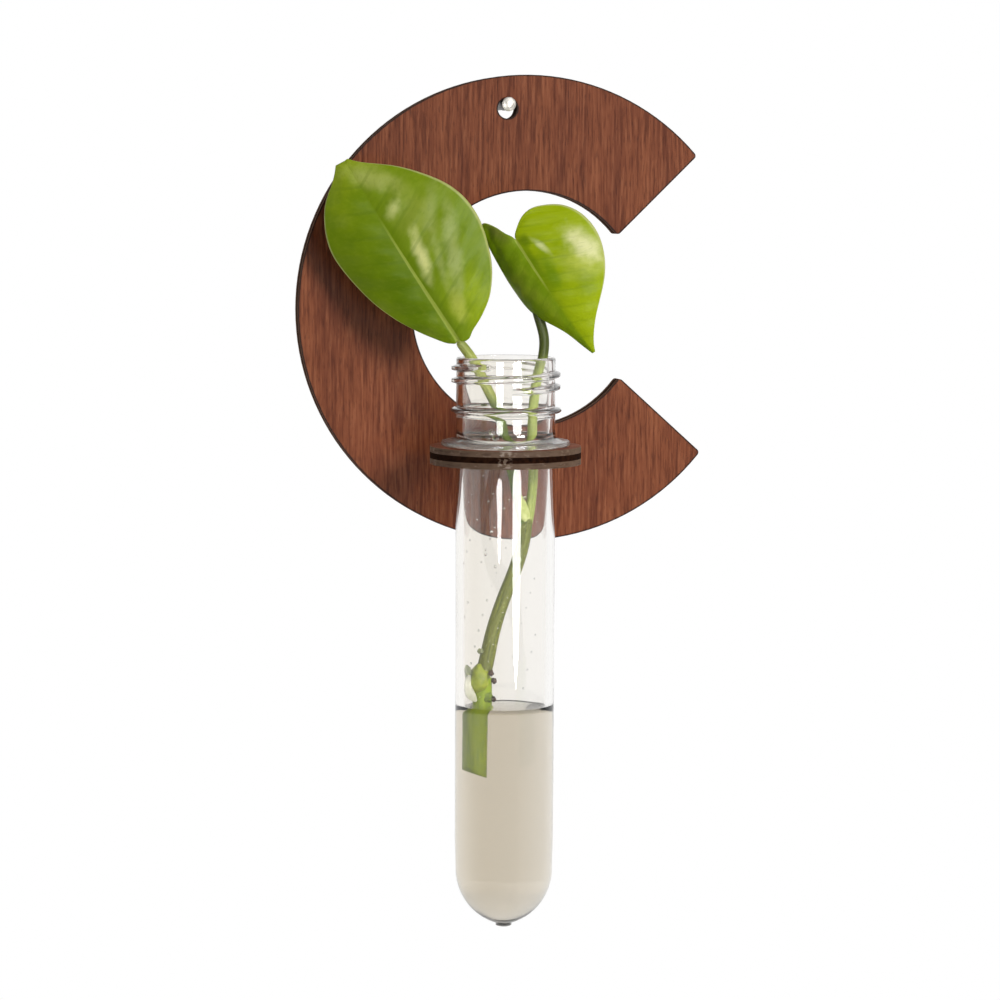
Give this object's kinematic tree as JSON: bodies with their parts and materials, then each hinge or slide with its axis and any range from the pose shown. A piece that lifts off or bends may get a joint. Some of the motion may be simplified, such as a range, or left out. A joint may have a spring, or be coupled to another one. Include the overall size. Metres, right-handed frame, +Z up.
{
  "type": "wall-mounted hydroponic planter",
  "caption": "C-shaped layered wood plate hung on a nail, with a ring that holds a clear threaded tube of water and a leafy cutting.",
  "frame": {"origin": "the nail's axis where it meets the wall's face", "axes": "+X right along the wall seen from the room, +Y into the wall along the nail, +Z up"},
  "size_m": [0.1063, 0.0714, 0.2161],
  "materials": {
    "veneer": "satin, reddish brown, vertical grain",
    "dark_core": "matte, near-black board",
    "nail_steel": "bright wire",
    "clear_plastic": "clear, moulded, glossy",
    "water": "still, clear, faintly warm",
    "stem_green": "smooth living stem",
    "leaf_green": "waxy leaf",
    "pale_scale": "dry papery scale",
    "dark_nub": "corky"
  },
  "bodies": {
    "nail": {"hanging_nail": "nail_steel"},
    "hanger": {"plate_rear_layer": "veneer", "plate_core_layer": "dark_core", "plate_front_layer": "veneer", "ring_top_layer": "veneer", "ring_core_layer": "dark_core", "ring_bottom_layer": "veneer"},
    "tube": {"test_tube": "clear_plastic", "water": "water"},
    "cutting": {"main_stem": "stem_green", "left_stalk": "stem_green", "right_stalk": "stem_green", "stalk_sheath": "pale_scale", "large_leaf": "leaf_green", "small_leaf": "leaf_green", "stem_node": "stem_green", "side_bud": "stem_green", "dry_sheath": "pale_scale", "root_nubs": "dark_nub", "cut_stem_end": "stem_green"}
  },
  "joints": [
    {"name": "plate_swing", "type": "hinge", "parent": "nail", "child": "hanger", "pos_m": [0, -0.00225, 0], "axis": [0, 1, 0], "range_deg": [-25, 25]},
    {"name": "tube_lift", "type": "slide", "parent": "hanger", "child": "tube", "axis": [0, 0, 1], "range_m": [0, 0.13]},
    {"name": "cutting_lift", "type": "slide", "parent": "tube", "child": "cutting", "axis": [0, 0, 1], "range_m": [0, 0.115]}
  ]
}
